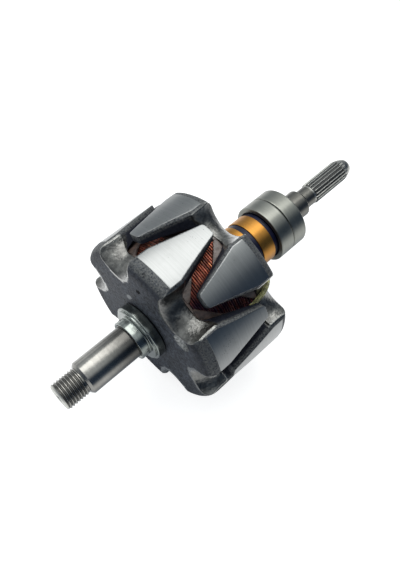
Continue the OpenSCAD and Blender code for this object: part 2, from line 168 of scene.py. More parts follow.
class Field:
    """A number in a node tree that adds, multiplies and compares as plain numbers do."""

    def __init__(self, tree, socket):
        self.tree, self.socket = tree, socket

    def math(self, operation, *others, clamp=False):
        values = dict(enumerate((self, *others)))
        made = put(self.tree, "ShaderNodeMath", values, operation=operation, use_clamp=clamp)
        return Field(self.tree, made)

    def __add__(self, other):
        return self.math("ADD", other)

    def __sub__(self, other):
        return self.math("SUBTRACT", other)

    def __rsub__(self, other):
        return (self * -1) + other

    def __mul__(self, other):
        return self.math("MULTIPLY", other)

    def __truediv__(self, other):
        return self.math("DIVIDE", other)

    def __pow__(self, other):
        return self.math("POWER", other)

    __radd__ = __add__
    __rmul__ = __mul__

    def rise(self, low, high):
        """0 below low and 1 above high, with a smooth step between them."""
        return Field(self.tree, put(
            self.tree, "ShaderNodeMapRange", {0: self, 1: low, 2: high},
            interpolation_type="SMOOTHSTEP",
        ))

    def clamped(self):
        return self.math("ADD", 0.0, clamp=True)

    def least(self, other):
        return self.math("MINIMUM", other)

    def most(self, other):
        return self.math("MAXIMUM", other)


def feed(tree, inputs, values):
    """Gives inputs their values, by name or place: numbers, sockets or Fields."""
    for key, value in values.items():
        if isinstance(value, Field):
            value = value.socket
        if isinstance(value, bpy.types.NodeSocket):
            tree.links.new(value, inputs[key])
        else:
            inputs[key].default_value = value


def add_node(tree, kind, inputs=None, **settings):
    """Adds a node with its inputs and settings."""
    made = tree.nodes.new(kind)
    for name, value in settings.items():
        setattr(made, name, value)
    feed(tree, made.inputs, inputs or {})
    return made


def put(tree, kind, inputs=None, **settings):
    """Adds a node and gives its first output."""
    return add_node(tree, kind, inputs, **settings).outputs[0]


def mixed(tree, factor, first, second):
    """A colour between two colours, which are sockets or plain colours."""
    values = {0: factor, 6: first, 7: second}
    for key in (6, 7):
        if not isinstance(values[key], bpy.types.NodeSocket):
            values[key] = (*values[key], 1.0)
    return add_node(tree, "ShaderNodeMix", values, data_type="RGBA").outputs[2]


def scaled(tree, vector, factor):
    return put(tree, "ShaderNodeVectorMath", {0: vector, 3: factor}, operation="SCALE")


def millimetres(tree):
    """Object coordinates in millimetres."""
    return scaled(tree, add_node(tree, "ShaderNodeTexCoord").outputs["Object"], 1 / MM)


def split(tree, vector):
    made = add_node(tree, "ShaderNodeSeparateXYZ", {0: vector})
    return [Field(tree, made.outputs[i]) for i in range(3)]


def joined(tree, x, y, z):
    return put(tree, "ShaderNodeCombineXYZ", {0: x, 1: y, 2: z})


def radius_of(tree, vector):
    _, y, z = split(tree, vector)
    return (y * y + z * z) ** 0.5


def attribute(tree, name):
    """A number that a piece stores at each of its points."""
    made = add_node(tree, "ShaderNodeAttribute", attribute_name=name)
    return Field(tree, made.outputs["Fac"])


def grain(tree, vector, size, detail=3.0, roughness=0.55, distortion=0.0, shift=0.0):
    """Noise whose lumps are about size millimetres across, from 0 to 1."""
    if shift:
        vector = put(tree, "ShaderNodeVectorMath", {0: vector, 1: (shift, shift, shift)})
    return Field(tree, put(
        tree, "ShaderNodeTexNoise",
        {"Vector": vector, "Scale": 1 / size, "Detail": detail, "Roughness": roughness,
         "Distortion": distortion},
    ))


def noise_at(tree, w, detail=1.0, vector=None):
    """Noise of unit scale at w, or at a vector and w in four dimensions."""
    inputs = {"W": w, "Scale": 1.0, "Detail": detail}
    if vector is not None:
        inputs["Vector"] = vector
    dimensions = "1D" if vector is None else "4D"
    return Field(tree, put(tree, "ShaderNodeTexNoise", inputs, noise_dimensions=dimensions))


def cells(tree, vector, scale, low, high):
    """Round spots at the middles of random cells, from 1 below low to 0 above high."""
    made = add_node(tree, "ShaderNodeTexVoronoi", {"Vector": vector, "Scale": scale})
    return 1.0 - Field(tree, made.outputs["Distance"]).rise(low, high)


def new_group(name, inputs, outputs):
    """A shader node group, with its inputs as Fields."""
    tree = bpy.data.node_groups.new(name, "ShaderNodeTree")
    new_socket = tree.interface.new_socket
    for label, default in inputs.items():
        new_socket(label, in_out="INPUT", socket_type="NodeSocketFloat").default_value = default
    for label in outputs:
        new_socket(label, in_out="OUTPUT", socket_type="NodeSocketFloat")
    given = tree.nodes.new("NodeGroupInput")
    return tree, {label: Field(tree, given.outputs[label]) for label in inputs}


def close_group(tree, outputs):
    """Gives a node group its outputs."""
    add_node(tree, "NodeGroupOutput", outputs)


def turning_marks_group():
    """Fine grooves round the shaft on faces turned in a lathe."""
    tree, given = new_group("Turning marks", {"Spacing": 0.3, "Waver": 0.05}, ("Height", "Tone"))
    place = millimetres(tree)
    x, y, z = split(tree, place)
    r = radius_of(tree, place)
    across = joined(tree, x / given["Spacing"], r / given["Spacing"], y * given["Waver"])
    broad = joined(tree, x * 0.7, r * 0.7, y * 0.04)
    close_group(tree, {
        "Height": noise_at(tree, z * given["Waver"], 2.0, across),
        "Tone": noise_at(tree, z * 0.04, 1.0, broad),
    })


def forged_skin_group():
    """Lumps, blotches and pits of a surface left as forged."""
    tree, given = new_group("Forged skin", {"Fineness": 1.0}, ("Height", "Blotches", "Pits"))
    place = scaled(tree, millimetres(tree), given["Fineness"])
    lumps = grain(tree, place, 1.6, detail=4.0, roughness=0.6)
    fine = grain(tree, place, 0.45, detail=2.0, roughness=0.5, shift=7.0)
    chosen = grain(tree, place, 8.0, detail=1.0, shift=19.0).rise(0.46, 0.58)
    pits = cells(tree, place, 0.32, 0.05, 0.15) * chosen
    close_group(tree, {
        "Height": (lumps * 0.7 + fine * 0.3) - pits * 0.6,
        "Blotches": grain(tree, place, 5.5, roughness=0.6, distortion=0.6, shift=3.0),
        "Pits": pits,
    })


def worn_edges_group():
    """Where corners are rubbed bright, and where hollows darken with grime and painted shade, from
    what the piece stores.
    """
    tree, given = new_group("Worn edges", {"Start": 0.12, "Breakup": 0.5}, ("Wear", "Grime"))
    patches = grain(tree, millimetres(tree), 2.2, detail=4.0, roughness=0.65, shift=11.0)
    broken = (patches - 0.5) * given["Breakup"]
    start = given["Start"]
    wear = (attribute(tree, "edge") + broken * 0.35).rise(start, start + 0.16)
    grime_and_shade = (attribute(tree, "hollow") + broken * 0.3).rise(0.05, 0.35)
    close_group(tree, {"Wear": wear, "Grime": grime_and_shade})


class Finish:
    """A material with a Principled shader and its patterns on millimetre coordinates."""

    def __init__(self, name, sockets):
        self.material = bpy.data.materials.new(name)
        self.material.use_nodes = True
        self.tree = self.material.node_tree
        self.shader = self.tree.nodes["Principled BSDF"]
        self.place = millimetres(self.tree)
        self.radius = radius_of(self.tree, self.place)
        self.x, self.y, self.z = split(self.tree, self.place)
        self.set(sockets)

    def set(self, values):
        """Gives the shader's sockets their values, and returns the material."""
        feed(self.tree, self.shader.inputs, values)
        return self.material

    def marks_round_shaft(self, strength):
        """Draws highlights out across marks that run round the shaft."""
        tangent = put(self.tree, "ShaderNodeTangent", direction_type="RADIAL", axis="X")
        self.set({"Anisotropic": strength, "Anisotropic Rotation": 0.25, "Tangent": tangent})

    def grain(self, size, **settings):
        return grain(self.tree, self.place, size, **settings)

    def stretched(self, along, across, shift=0.0):
        """Noise drawn out round the shaft: along is its size on X and across its size round it."""
        size = (1 / along, 1 / across, 1 / across)
        values = {0: self.place, 1: size}
        place = put(self.tree, "ShaderNodeVectorMath", values, operation="MULTIPLY")
        return grain(self.tree, place, 1.0, roughness=0.6, shift=shift)

    def effect(self, name, **values):
        """Places one of the shared effects and returns its outputs by name."""
        made = add_node(self.tree, "ShaderNodeGroup", node_tree=bpy.data.node_groups[name])
        feed(self.tree, made.inputs, values)
        return {socket.name: Field(self.tree, socket) for socket in made.outputs}

    def mix(self, factor, first, second):
        return mixed(self.tree, factor, first, second)

    def shades(self, factor, base, dark, light):
        """From dark to light times the brightness of a base colour."""
        return self.mix(factor, scaled_rgb(base, dark), scaled_rgb(base, light))

    def layers(self, base, *coats):
        """A colour with others laid over it in turn, each a pair of mask and colour."""
        for mask, over in coats:
            base = self.mix(mask, base, over)
        return base

    def bump(self, height, distance, strength=1.0, after=None):
        """Raises the surface by height times distance, which is in millimetres."""
        values = {"Height": height, "Distance": distance * MM, "Strength": strength}
        if after is not None:
            values["Normal"] = after
        return put(self.tree, "ShaderNodeBump", values)


def scaled_rgb(rgb, factor):
    return tuple(min(1.0, c * factor) for c in rgb)


# Tones that lie over the main colours of the poles. The outer and flank tones are painted shade on
# the pole's outer part and on the claws' sides, and the grime tone is grime and painted shade in
# hollows.
SPECK, PIT, GRIME_AND_SHADE = (0.05, 0.052, 0.06), (0.008, 0.009, 0.011), (0.008, 0.010, 0.018)
OUTER_PAINTED_SHADE, FLANK_PAINTED_SHADE = (0.010, 0.012, 0.018), (0.007, 0.009, 0.018)
SHOULDER_WEAR, CORNER_WEAR = (0.17, 0.175, 0.17), (0.10, 0.105, 0.105)
NICK_SHADE, RUB_SHADE = (0.002, 0.002, 0.003), (0.30, 0.31, 0.32)
DRILLED_DARK, DRILLED_LIGHT = (0.10, 0.105, 0.11), (0.36, 0.37, 0.36)

# The same for the shaft, the collar, the coil and its leads. The dark tones for the roots of the
# grooves, the collar's seat, the gaps between turns and the coil's lower part are painted shade and
# shadow, and the copper glints are painted highlights.
STAINED_STEEL, ROOT_PAINTED_SHADE = (0.125, 0.122, 0.110), (0.03, 0.032, 0.036)
CREST_WEAR, TIP_WEAR = (0.56, 0.56, 0.52), (0.58, 0.58, 0.54)
DULL_PLATING, SEAT_PAINTED_SHADOW = (0.20, 0.22, 0.21), (0.004, 0.004, 0.007)
COPPER_GLINT, COPPER_DULL = (0.74, 0.28, 0.13), (0.10, 0.035, 0.02)
COPPER_PAINTED_SHADE, COPPER_GAP_PAINTED_SHADE = (0.030, 0.010, 0.032), (0.006, 0.004, 0.009)
NYLON_WEAR, SLEEVE_DUST, TRACK_SHADE = (0.17, 0.15, 0.12), (0.50, 0.50, 0.30), (0.36, 0.15, 0.035)
LEAD_COPPER = (0.60, 0.28, 0.13)

# Places on Y and Z and sizes of two marks on the front face, in millimetres.
NICK = (-2.0, 30.2, 1.1)
RUB = (7.8, 17.2, 1.5)


def face_mark(f, y, z, size):
    """A ragged mark of a few millimetres on the front pole's face."""
    across = (f.y - y) * 0.7 + (f.z - z) * 0.7
    along = (f.y - y) * 0.35 - (f.z - z) * 0.35
    ragged = (f.grain(0.8, roughness=0.7, shift=17.0) - 0.5) * 1.6
    away = (across * across + along * along) ** 0.5 + ragged
    on_face = 1.0 - f.x.rise(POLE_FRONT + 1.0, POLE_FRONT + 2.0)
    return (1.0 - away.rise(size * 0.7, size)) * on_face


def turned_colour(f, steel):
    """Turned claw faces: fine lines round them, stains and small dark specks."""
    clean = f.shades(f.stretched(0.55, 45.0, shift=12.0).rise(0.35, 0.65), steel, 0.94, 1.03)
    stains = f.stretched(6.0, 10.0, shift=2.0).rise(0.5, 0.8) * 0.4
    patches = f.grain(7.0, detail=1.0, shift=31.0).rise(0.56, 0.64)
    specks = cells(f.tree, f.place, 0.8, 0.10, 0.2) * patches
    return f.layers(clean, (stains, scaled_rgb(steel, 0.72)), (specks * 0.8, SPECK))


def pole_finish():
    c = colours()
    f = Finish("Pole steel", {"Specular IOR Level": 0.2, "Coat Roughness": 0.1})
    f.marks_round_shaft(0.25)
    turned = f.radius.rise(ROTOR_R - 0.10, ROTOR_R - 0.04)
    forged = 1.0 - turned
    skin = f.effect("Forged skin", Fineness=1.0)
    marks = f.effect("Turning marks", Spacing=0.3, Waver=0.015)
    edges = f.effect("Worn edges", Start=0.24, Breakup=0.9)
    pooled = attribute(f.tree, "valley") + (f.grain(3.2, shift=4.0) - 0.5) * 0.7
    pooled = pooled.rise(0.35, 0.75)
    shoulder = f.radius.rise(ROTOR_R - 2.8, ROTOR_R - 1.5)
    shoulder = shoulder * f.grain(0.8, roughness=0.75, shift=41.0).rise(0.34, 0.6)
    nick, rub = face_mark(f, *NICK), face_mark(f, *RUB)
    bare = attribute(f.tree, "drilled")

    speckle = f.grain(1.6, detail=4.0, roughness=0.8, shift=23.0).rise(0.38, 0.62) * 0.65
    speckle = speckle + skin["Blotches"].rise(0.34, 0.66) * 0.35
    clouds = f.grain(3.4, detail=4.0, roughness=0.6, shift=8.0).rise(0.35, 0.7)
    varnish = f.shades(clouds, c.varnish, 0.45, 1.5)
    tears = f.grain(1.1, roughness=0.7, shift=3.0).rise(0.3, 0.7)
    drilled = f.mix(tears, DRILLED_DARK, DRILLED_LIGHT)
    forged_colour = f.layers(
        f.shades(speckle, c.forged_steel, 0.15, 2.4),
        # Painted shade: the pole darker towards its outer part.
        (f.radius.rise(31.0, 42.0) * 0.6, OUTER_PAINTED_SHADE),
        # Painted shade on the claws' sides.
        (attribute(f.tree, "flank") * 0.75, FLANK_PAINTED_SHADE),
        (skin["Pits"] * 0.9, PIT),
        (pooled, varnish),
        (shoulder * 0.7, SHOULDER_WEAR),
        (edges["Wear"] * 0.6, CORNER_WEAR),
        # Grime and painted shade in the hollows.
        (edges["Grime"] * 0.8, GRIME_AND_SHADE),
        (nick * 0.95, NICK_SHADE),
        (rub * 0.8, RUB_SHADE),
        (bare, drilled),
    )
    bright = edges["Wear"] * 0.15 + bare * 0.75 + pooled * 0.6 + shoulder * 0.4
    rough_turned = 0.27 + marks["Tone"] * 0.06
    rough_forged = 0.54 + skin["Blotches"] * 0.16 - pooled * 0.3 - bare * 0.24
    rough_forged = rough_forged - rub * 0.15 + nick * 0.3
    relief = (skin["Height"] - nick * 1.6) * forged * (1.0 - pooled * 0.7)
    ripples = f.grain(1.7, roughness=0.6, distortion=0.3, shift=13.0) * pooled * forged
    wet = f.bump(ripples, 0.26, 0.9, f.bump(relief, 0.5, 0.9))
    return f.set({
        "Base Color": f.mix(turned, forged_colour, turned_colour(f, c.turned_steel)),
        "Metallic": turned * 0.75 + bright * forged + 0.25,
        "Roughness": turned * rough_turned + forged * rough_forged,
        "Coat Weight": forged * pooled,
        "Coat Normal": wet,
        "Normal": f.bump(marks["Height"] * turned, 0.006, 0.5, wet),
    })


def ground_finish(name, base, spacing, roughness, tone=0.9, mark=0.005, stretch=0.3):
    """Ground or turned bright metal, with marks that run round the shaft."""
    f = Finish(name, {"Metallic": 1.0})
    f.marks_round_shaft(stretch)
    marks = f.effect("Turning marks", Spacing=spacing, Waver=0.02)
    edges = f.effect("Worn edges", Start=0.2, Breakup=0.4)
    f.body_colour = f.layers(
        f.shades(marks["Tone"].rise(0.3, 0.75), base, tone, 1.0),
        (f.stretched(7.0, 8.0).rise(0.5, 0.8) * 0.3, scaled_rgb(base, tone * 0.8)),
        # Grime and painted shade in the hollows.
        (edges["Grime"] * 0.8, scaled_rgb(base, 0.12)),
        (edges["Wear"] * 0.5, scaled_rgb(base, 1.25)),
    )
    f.body_roughness = marks["Tone"] * 0.05 + f.grain(3.0, shift=5.0) * 0.03 + (roughness - 0.04)
    f.set({
        "Base Color": f.body_colour,
        "Roughness": f.body_roughness,
        "Normal": f.bump(marks["Height"], mark, 0.6),
    })
    return f


def shaft_finish():
    f = ground_finish("Ground shaft steel", colours().ground_steel, 0.25, 0.23)
    end = SHAFT_START
    warm = f.x.rise(TAIL_START - 0.5, TAIL_START + 0.5)
    warm = warm * (1.0 - f.x.rise(NECK_END, NECK_END + 2.0) * 0.7)
    threaded = 1.0 - f.x.rise(end + 10.4, end + 11.2)
    splined = f.x.rise(NECK_END, NECK_END + 1.5)
    plain = 1.0 - (threaded + splined).clamped()
    root_r = threaded * (THREAD_R - 0.55) + splined * (ROOT_R + 0.225) + plain
    grooved = threaded * f.x.rise(end + 0.6, end + 1.2)
    grooved = grooved + splined * (1.0 - f.x.rise(NOSE_START, NOSE_START + 1.5))
    sunk = (1.0 - f.radius.rise(root_r - 0.1, root_r + 0.3)) * grooved.clamped()
    nose = f.x.rise(NOSE_START - 1.0, NOSE_START + 0.5)
    tip = 1.0 - f.x.rise(end + 0.2, end + 0.9)
    tone = f.layers(
        f.body_colour,
        (warm * 0.85, STAINED_STEEL),
        # Painted shade in the roots of the thread and the spline.
        (sunk * (0.45 + splined * 0.3), ROOT_PAINTED_SHADE),
        (splined * (1.0 - sunk) * (0.8 - nose * 0.5), CREST_WEAR),
        (tip * 0.9, TIP_WEAR),
    )
    roughness = f.body_roughness + sunk * 0.3 + warm * 0.08 + tip * 0.2
    return f.set({"Base Color": tone, "Roughness": roughness})


def plated_finish():
    f = ground_finish("Plated steel", colours().plating, 0.3, 0.16, 0.7, 0.008, 0.1)
    # A painted contact shadow where the collar meets the pole.
    seat = f.x.rise(COLLAR_END - 1.0, COLLAR_END - 0.8)
    mottles = f.grain(1.4, roughness=0.7, shift=11.0).rise(0.4, 0.65) * 0.5
    tone = f.layers(f.body_colour, (mottles, DULL_PLATING), (seat * 0.96, SEAT_PAINTED_SHADOW))
    return f.set({"Base Color": tone, "Roughness": f.body_roughness + seat * 0.4})


def copper_finish():
    f = Finish("Winding copper", {"Metallic": 0.85, "Coat Roughness": 0.1})
    # Painted shade between the turns, below the tops of the wires.
    deep = 1.0 - f.radius.rise(COIL_R - 0.62, COIL_R - 0.22)
    # Painted shade: the coil darker everywhere but at its top, with streaks.
    shaded_side = 1.0 - f.z.rise(24.0, 31.0)
    shaded_side = shaded_side * (0.66 + f.stretched(2.2, 6.0, shift=21.0).rise(0.4, 0.6) * 0.3)
    tone = f.layers(
        f.shades(f.stretched(1.3, 9.0).rise(0.36, 0.64), colours().copper, 0.16, 1.0),
        (f.stretched(1.5, 5.0, shift=9.0).rise(0.58, 0.72), COPPER_GLINT),
        (f.grain(4.5, shift=6.0).rise(0.5, 0.75) * 0.6, COPPER_DULL),
        (shaded_side, COPPER_PAINTED_SHADE),
        (deep * 0.97, COPPER_GAP_PAINTED_SHADE),
    )
    return f.set({
        "Base Color": tone,
        "Roughness": 0.26 + f.grain(2.0) * 0.2,
        "Coat Weight": f.grain(3.0, shift=2.0).rise(0.35, 0.7) * 0.5,
        "Normal": f.bump(f.grain(0.5, detail=2.0), 0.04, 0.5),
    })


def nylon_finish():
    f = Finish("Bobbin nylon", {"Metallic": 0.0, "Coat Roughness": 0.14})
    edges = f.effect("Worn edges", Start=0.18, Breakup=0.7)
    clouds = f.grain(4.0, detail=4.0, roughness=0.65).rise(0.3, 0.75)
    tone = f.shades(clouds, colours().nylon, 0.4, 1.5)
    return f.set({
        "Base Color": f.mix(edges["Wear"] * 0.5, tone, NYLON_WEAR),
        "Roughness": 0.38 + f.grain(2.0, shift=3.0) * 0.2,
        "Coat Weight": f.grain(3.0, shift=9.0).rise(0.3, 0.7) * 0.7,
        "Normal": f.bump(f.grain(1.4, roughness=0.6, distortion=0.5, shift=5.0), 0.35, 0.6),
    })


def moulded_finish(name, base, roughness, lump):
    f = Finish(name, {"Metallic": 0.0, "Specular IOR Level": 0.3})
    edges = f.effect("Worn edges", Start=0.2, Breakup=0.5)
    tone = f.shades(f.grain(3.0, detail=4.0, roughness=0.6).rise(0.3, 0.75), base, 0.7, 1.5)
    return f.set({
        "Base Color": f.mix(edges["Wear"] * 0.35, tone, scaled_rgb(base, 5.0)),
        "Roughness": roughness + f.grain(1.5, shift=4.0) * 0.12,
        "Normal": f.bump(f.grain(0.6), lump, 0.5),
    })


def slip_ring_finish():
    f = ground_finish("Slip ring alloy", colours().slip_ring, 0.18, 0.35, 0.92, 0.007)
    track = f.stretched(1.3, 60.0, shift=4.0).rise(0.42, 0.66)
    return f.set({"Base Color": f.mix(track * 0.3, f.body_colour, TRACK_SHADE)})


def sleeve_finish():
    f = Finish("Lead sleeve", {"Metallic": 0.0, "Coat Roughness": 0.12})
    u, v, _ = split(f.tree, put(f.tree, "ShaderNodeUVMap", uv_map="strand"))
    left, right = (((u * 9.0 + v * lay) * (2 * math.pi)).math("SINE") for lay in (1.1, -1.1))
    clouds = f.grain(2.4, detail=4.0, roughness=0.7).rise(0.32, 0.72)
    tone = f.shades(clouds, colours().sleeve, 0.45, 2.0)
    return f.set({
        "Base Color": f.mix(f.grain(1.2, shift=6.0).rise(0.62, 0.8), tone, SLEEVE_DUST),
        "Roughness": 0.34 + f.grain(1.5, shift=2.0) * 0.2,
        "Coat Weight": 0.55 * f.grain(2.0, shift=8.0).rise(0.3, 0.7),
        "Normal": f.bump(left * right * 0.5 + f.grain(0.7), 0.12, 0.6),
    })


FINISHES = {}


def make_finishes():
    """Builds the shared effects and every material, once."""
    turning_marks_group()
    forged_skin_group()
    worn_edges_group()
    c = colours()
    FINISHES.update(
        pole_steel=pole_finish(),
        shaft_steel=shaft_finish(),
        plated_steel=plated_finish(),
        winding_copper=copper_finish(),
        bobbin_nylon=nylon_finish(),
        hub_resin=moulded_finish("Hub resin", c.resin, 0.3, 0.05),
        slip_ring_alloy=slip_ring_finish(),
        sleeve_plastic=sleeve_finish(),
        lead_copper=ground_finish("Lead copper", LEAD_COPPER, 0.2, 0.3).material,
        terminal_brass=ground_finish("Terminal brass", c.brass, 0.2, 0.28).material,
        bearing_steel=ground_finish("Bearing steel", c.bearing_steel, 0.2, 0.34).material,
        seal_rubber=moulded_finish("Seal rubber", c.seal, 0.45, 0.06),
    )


# ---------------------------------------------------------------- meshes


def placed(name, data):
    """A new object in the scene."""
    made = bpy.data.objects.new(name, data)
    bpy.context.scene.collection.objects.link(made)
    return made


def finish_piece(name, mesh, slot, body="rotor", replaced=()):
    """Makes a finished piece of a mesh: its material, its body and the CAD nodes it stands for."""
    mesh.name = name
    mesh.materials.clear()
    mesh.materials.append(FINISHES[slot])
    piece = placed(name, mesh)
    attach(piece, body)
    if replaced:
        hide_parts(*replaced)
    return piece


def finish_node(node, slot):
    """Gives a CAD node its material."""
    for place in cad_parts[node].material_slots:
        place.material = FINISHES[slot]


def plain_mesh(obj):
    """The evaluated mesh of an object, which is then removed."""
    bpy.context.view_layer.update()
    evaluated = obj.evaluated_get(bpy.context.evaluated_depsgraph_get())
    mesh = bpy.data.meshes.new_from_object(evaluated)
    bpy.data.objects.remove(obj)
    return mesh


def new_mesh(made, name):
    """A mesh of a bmesh, which is then freed."""
    mesh = bpy.data.meshes.new(name)
    made.to_mesh(mesh)
    made.free()
    return mesh


def merge_doubles(mesh, distance, outwards=False):
    """Joins loose corners, and turns the faces outwards where asked."""
    made = bmesh.new()
    made.from_mesh(mesh)
    bmesh.ops.remove_doubles(made, verts=made.verts, dist=distance)
    if outwards:
        bmesh.ops.recalc_face_normals(made, faces=made.faces)
    made.to_mesh(mesh)
    made.free()


def read(items, name, width, kind=float):
    """An array of a value that each of a mesh's items holds."""
    values = np.empty(len(items) * width, kind)
    items.foreach_get(name, values)
    return values.reshape(-1, width)


def corners_of(mesh):
    return read(mesh.vertices, "co", 3)


def normals_of(mesh):
    return read(mesh.vertex_normals, "vector", 3, np.float32).astype(float)


def edges_of(mesh):
    return read(mesh.edges, "vertices", 2, np.int64)


def move_corners(mesh, places):
    mesh.vertices.foreach_set("co", places.ravel())
    mesh.update()


def neighbour_mean(values, pairs):
    """Mean of each vertex's neighbours."""
    total = np.zeros_like(values)
    count = np.zeros(len(values))
    for a, b in (pairs.T, pairs.T[::-1]):
        np.add.at(total, a, values[b])
        np.add.at(count, a, 1)
    return total / np.maximum(count, 1).reshape(-1, *[1] * (values.ndim - 1))


def write_attribute(mesh, name, values):
    """Stores a number at each vertex, for the materials."""
    made = mesh.attributes.new(name, "FLOAT", "POINT")
    made.data.foreach_set("value", np.asarray(values, np.float32))


def mark_edges(mesh, blur):
    """Stores how far each vertex stands out (edge) or lies in a corner (hollow)."""
    places, normals, pairs = corners_of(mesh), normals_of(mesh), edges_of(mesh)
    bend = np.zeros(len(places))
    count = np.zeros(len(places))
    for a, b in (pairs.T, pairs.T[::-1]):
        step = places[b] - places[a]
        step /= np.maximum(np.linalg.norm(step, axis=1), 1e-9)[:, None]
        np.add.at(bend, a, -(normals[a] * step).sum(axis=1))
        np.add.at(count, a, 1)
    bend /= np.maximum(count, 1)
    for _ in range(blur):
        bend = 0.5 * bend + 0.5 * neighbour_mean(bend, pairs)
    write_attribute(mesh, "edge", np.clip(bend, 0, 1))
    write_attribute(mesh, "hollow", np.clip(-bend, 0, 1))


def rounded_profile(corners):
    """Points of a closed profile from corners (x, radius, rounding), all in millimetres."""
    points = []
    for i, (x, r, rounding) in enumerate(corners):
        here = Vector((x, r))
        before = Vector(corners[i - 1][:2]) - here
        after = Vector(corners[(i + 1) % len(corners)][:2]) - here
        if rounding <= 0:
            points.append(tuple(here))
            continue
        half = before.angle(after) / 2
        reach = min(rounding / math.tan(half), before.length * 0.45, after.length * 0.45)
        rounding = reach * math.tan(half)
        back, on = before.normalized(), after.normalized()
        centre = here + (back + on).normalized() * rounding / math.sin(half)
        start, end = here + back * reach, here + on * reach
        hold = min(0.08, reach * 0.5)
        points.append(tuple(start + back * hold))
        a, b = start - centre, end - centre
        turn = b.angle_signed(a)
        for k in range(ROUNDING_STEPS + 1):
            points.append(tuple(centre + Matrix.Rotation(turn * k / ROUNDING_STEPS, 2) @ a))
        points.append(tuple(end + on * hold))
    return points


def bridge(made, before, after):
    """Faces between two rings of vertices."""
    total = len(before)
    return [
        made.faces.new((before[k], before[(k + 1) % total], after[(k + 1) % total], after[k]))
        for k in range(total)
    ]


def turned_part(corners):
    """A solid turned about the shaft axis from the corners of its closed profile."""
    made = bmesh.new()
    rings = []
    for x, r in rounded_profile(corners):
        angles = [2 * math.pi * k / AROUND for k in range(AROUND)]
        rings.append([
            made.verts.new((x * MM, -r * MM * math.sin(a), r * MM * math.cos(a))) for a in angles
        ])
    for i, ring in enumerate(rings):
        bridge(made, ring, rings[(i + 1) % len(rings)])
    bmesh.ops.remove_doubles(made, verts=made.verts, dist=1e-7)
    bmesh.ops.dissolve_degenerate(made, edges=made.edges, dist=1e-8)
    bmesh.ops.recalc_face_normals(made, faces=made.faces)
    mesh = new_mesh(made, "turned")
    mesh.shade_smooth()
    mesh.set_sharp_from_angle(angle=math.radians(35))
    mark_edges(mesh, 0)
    return mesh


def add_ring(name, corners, slot, body="rotor", replaced=()):
    return finish_piece(name, turned_part(corners), slot, body, replaced)


def softened_copy(node, share):
    """A closed, even copy of a CAD node with its corners eased, thinned to a share of its faces."""
    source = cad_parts[node].data.copy()
    merge_doubles(source, 1e-6)
    holder = placed("holder", source)
    remesh = holder.modifiers.new("grid", "REMESH")
    remesh.mode, remesh.octree_depth, remesh.scale = "SHARP", 8, 0.95
    remesh.sharpness, remesh.use_remove_disconnected = 1.0, False
    mesh = plain_mesh(holder)
    places, pairs = corners_of(mesh), edges_of(mesh)
    for _ in range(2):
        places += 0.5 * (neighbour_mean(places, pairs) - places)
    move_corners(mesh, places)
    holder = placed("holder", mesh)
    holder.modifiers.new("thin", "DECIMATE").ratio = share
    return plain_mesh(holder)


def rise(values, low, high):
    """0 below low and 1 above high, with a smooth step between them."""
    t = np.clip((values - low) / (high - low), 0, 1)
    return t * t * (3 - 2 * t)


# The poles' outer corner band, and their round valleys, which bend over a shoulder between the
# claws, in millimetres.
CORNER_BAND = 6.6
SHOULDER_R, SHOULDER_DEPTH = 24.0, 9.0
VALLEY_BEND_R, VALLEY_R = 23.0, 12.0


def valley_share(places, face, inward, first):
    """How far each point belongs to one of the six round valleys of a pole, from 0 to 1."""
    depth = (places[:, 0] / MM - face) * inward
    share = np.zeros(len(places))
    for k in range(6):
        a = first + math.radians(60 * k)
        out = (-math.sin(a) * places[:, 1] + math.cos(a) * places[:, 2]) / MM
        aside = (-math.cos(a) * places[:, 1] - math.sin(a) * places[:, 2]) / MM
        over = np.hypot(out - SHOULDER_R, np.minimum(depth, SHOULDER_DEPTH) - SHOULDER_DEPTH)
        over = np.where(depth > SHOULDER_DEPTH, out - SHOULDER_R, over)
        gap = np.abs(np.hypot(over - VALLEY_BEND_R, aside) - VALLEY_R)
        share = np.maximum(share, (1 - rise(gap, 0.4, 1.0)) * (out > SHOULDER_R + 2))
    return share


def drilled_share(places):
    """1 on the walls of the shallow balance drilling in the front face."""
    angle = sizes().claw_phase + sizes().balance_angle
    r = sizes().balance_radius
    across = places[:, 1:] - r * np.array((-math.sin(angle), math.cos(angle)))
    near = np.hypot(across[:, 0], across[:, 1]) < sizes().balance_width / 2 + 0.1 * MM
    depth = places[:, 0] / MM - POLE_FRONT
    below_face, above_core = depth > 0.12, depth < 3.4
    return (near & below_face & above_core).astype(float)


# Waves to the metre and strength of the forged skin's lumps, and how much of them a flat face has.
SKIN_WAVES = ((210, 0.65), (620, 0.35))
FLAT_SHARE = 0.35


